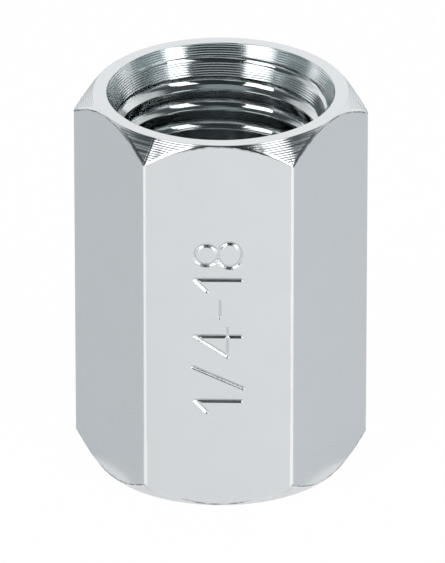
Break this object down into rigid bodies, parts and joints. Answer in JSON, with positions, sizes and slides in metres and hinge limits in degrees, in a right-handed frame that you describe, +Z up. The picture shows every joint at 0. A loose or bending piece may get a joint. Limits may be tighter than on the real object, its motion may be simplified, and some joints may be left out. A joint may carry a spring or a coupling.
{
  "type": "threaded coupling",
  "caption": "Short hexagonal steel coupling, female taper pipe threads in both ends of a through bore, with countersunk mouths and chamfered ends.",
  "frame": {"origin": "centre of the lower end, on the plane that the part stands on", "axes": "+Z up along the bore; one flat of the hexagon faces -Y and two of its long edges lie on the X axis"},
  "size_m": [0.0184, 0.016, 0.025],
  "materials": {
    "plated_steel": "bright zinc plating over machined steel"
  },
  "bodies": {
    "root": {"coupling": "plated_steel"}
  },
  "joints": []
}
